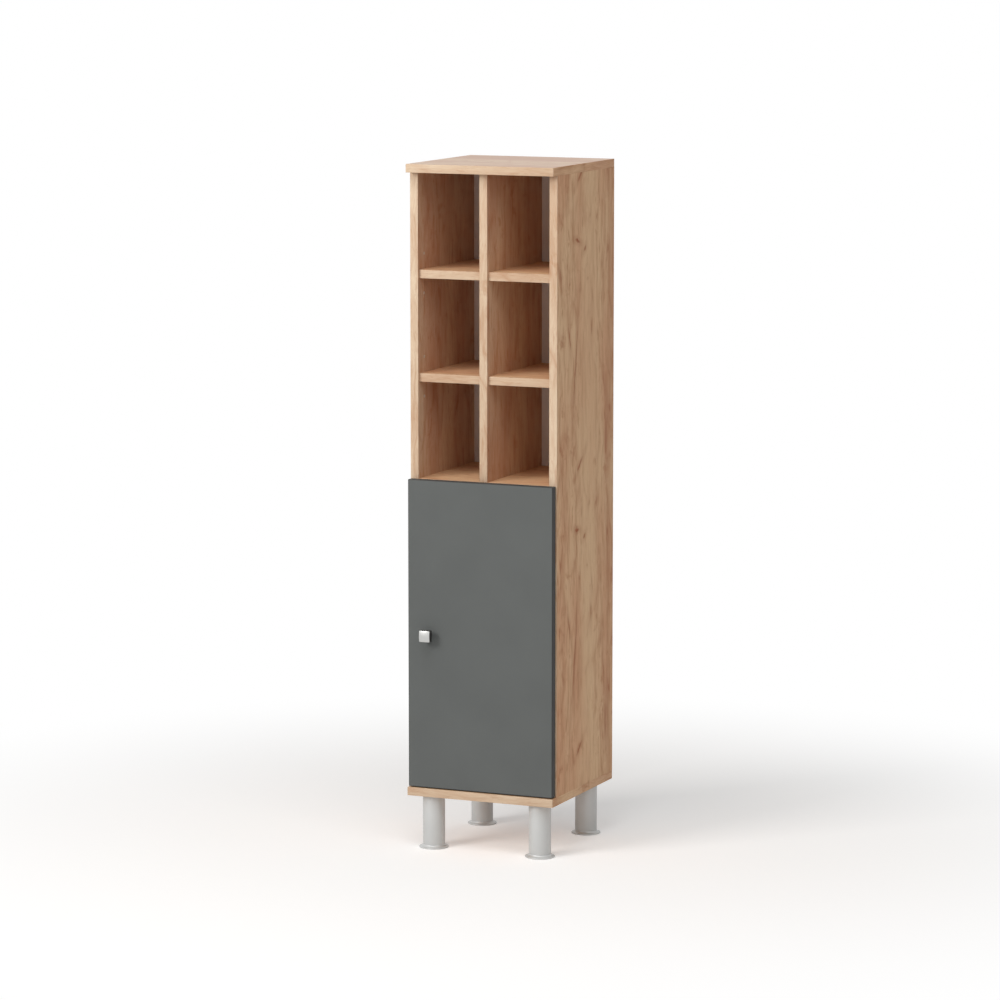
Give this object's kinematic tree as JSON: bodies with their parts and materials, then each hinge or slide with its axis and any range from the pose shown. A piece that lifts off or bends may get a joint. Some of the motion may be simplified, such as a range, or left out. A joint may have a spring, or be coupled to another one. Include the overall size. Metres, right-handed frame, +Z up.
{
  "type": "bathroom cabinet",
  "caption": "Narrow mid-height bathroom cabinet with open niches above a hinged door compartment, standing on round metal legs with levelling feet.",
  "frame": {"origin": "centre of the bounding box at floor level, under the cabinet", "axes": "+X to the right seen from the front, +Y to the back, +Z up; the door and knob face -Y"},
  "size_m": [0.3, 0.3236, 1.309],
  "materials": {
    "oak_laminate": "matte wood-print laminate",
    "oak_edging": "matte wood-print edging",
    "back_board": "thin pale fibreboard",
    "grey_laminate": "matte anthracite laminate",
    "grey_edging": "matte anthracite edging",
    "satin_chrome": "satin polished",
    "zinc_plated_steel": "zinc plated",
    "nickel_plated_steel": "nickel plated",
    "beech_dowel": "plain beech",
    "soft_bumper": "clear soft pad",
    "pale_plug": "moulded cap",
    "silver_paint": "matte silver grey",
    "black_bush": "moulded",
    "brass_sleeve": "turned"
  },
  "bodies": {
    "case": {"top_panel": "oak_laminate", "bottom_panel": "oak_laminate", "left_side_panel": "oak_laminate", "right_side_panel": "oak_laminate", "deck_panel": "oak_laminate", "niche_divider": "oak_laminate", "upper_left_shelf": "oak_laminate", "upper_right_shelf": "oak_laminate", "lower_left_shelf": "oak_laminate", "lower_right_shelf": "oak_laminate", "inner_shelf": "oak_laminate", "back_sheet_panel": "back_board", "top_panel_edging": "oak_edging", "bottom_panel_edging": "oak_edging", "side_panel_edging": "oak_edging", "divider_edging": "oak_edging", "deck_edging": "oak_edging", "shelf_edging": "oak_edging", "upper_hinge_arm": "nickel_plated_steel", "lower_hinge_arm": "nickel_plated_steel", "upper_mounting_plate": "nickel_plated_steel", "lower_mounting_plate": "nickel_plated_steel", "hinge_arm_pins": "nickel_plated_steel", "mounting_plate_screws": "zinc_plated_steel", "hinge_arm_screws": "zinc_plated_steel", "top_dowels": "beech_dowel", "bottom_dowels": "beech_dowel", "deck_dowels": "beech_dowel", "divider_dowels": "beech_dowel", "case_screws": "zinc_plated_steel", "niche_shelf_pins": "zinc_plated_steel", "inner_shelf_supports": "nickel_plated_steel", "hole_plugs": "pale_plug", "front_left_leg_tube": "silver_paint", "front_right_leg_tube": "silver_paint", "rear_left_leg_tube": "silver_paint", "rear_right_leg_tube": "silver_paint", "leg_top_bushes": "black_bush", "leg_studs": "zinc_plated_steel", "leg_sleeves": "brass_sleeve", "foot_bushes": "black_bush"},
    "door": {"door_panel": "grey_laminate", "door_edging": "grey_edging", "knob": "satin_chrome", "knob_screw": "zinc_plated_steel", "door_bumpers": "soft_bumper", "upper_hinge_cup": "nickel_plated_steel", "lower_hinge_cup": "nickel_plated_steel", "hinge_cup_screws": "zinc_plated_steel", "hinge_cup_pins": "nickel_plated_steel"},
    "front_links": {"hinge_front_links": "nickel_plated_steel", "hinge_front_link_pins": "nickel_plated_steel"},
    "rear_links": {"hinge_rear_links": "nickel_plated_steel", "hinge_rear_link_pins": "nickel_plated_steel"},
    "long_bars": {"hinge_long_bars": "nickel_plated_steel"},
    "short_bars": {"hinge_short_bars": "nickel_plated_steel"},
    "front_left_foot": {"front_left_foot": "silver_paint"},
    "front_right_foot": {"front_right_foot": "silver_paint"},
    "rear_left_foot": {"rear_left_foot": "silver_paint"},
    "rear_right_foot": {"rear_right_foot": "silver_paint"}
  },
  "joints": [
    {"name": "door_swing", "type": "hinge", "parent": "case", "child": "door", "pos_m": [0.1455, -0.1302, 0.4175], "axis": [0, 0, 1], "range_deg": [0, 100]},
    {"name": "front_link_turn", "type": "hinge", "parent": "case", "child": "front_links", "pos_m": [0.1292, -0.1192, 0.4175], "axis": [0, 0, 1], "range_deg": [0, 100]},
    {"name": "rear_link_turn", "type": "hinge", "parent": "case", "child": "rear_links", "pos_m": [0.1239, -0.11562, 0.4175], "axis": [0, 0, 1], "range_deg": [0, 100]},
    {"name": "long_bar_turn", "type": "hinge", "parent": "front_links", "child": "long_bars", "pos_m": [0.10845, -0.11788, 0.4175], "axis": [0, 0, 1], "range_deg": [-100, 0]},
    {"name": "short_bar_turn", "type": "hinge", "parent": "front_links", "child": "short_bars", "pos_m": [0.11503, -0.1183, 0.4175], "axis": [0, 0, 1], "range_deg": [-100, 0]},
    {"name": "front_left_foot_screw", "type": "slide", "parent": "case", "child": "front_left_foot", "axis": [0, 0, -1], "range_m": [0, 0.015]},
    {"name": "front_right_foot_screw", "type": "slide", "parent": "case", "child": "front_right_foot", "axis": [0, 0, -1], "range_m": [0, 0.015]},
    {"name": "rear_left_foot_screw", "type": "slide", "parent": "case", "child": "rear_left_foot", "axis": [0, 0, -1], "range_m": [0, 0.015]},
    {"name": "rear_right_foot_screw", "type": "slide", "parent": "case", "child": "rear_right_foot", "axis": [0, 0, -1], "range_m": [0, 0.015]}
  ],
  "couplings": [
    {"joint": "front_link_turn", "follows": "door_swing", "ratio": 1},
    {"joint": "rear_link_turn", "follows": "door_swing", "ratio": 1},
    {"joint": "long_bar_turn", "follows": "door_swing", "ratio": -1},
    {"joint": "short_bar_turn", "follows": "door_swing", "ratio": -1}
  ]
}
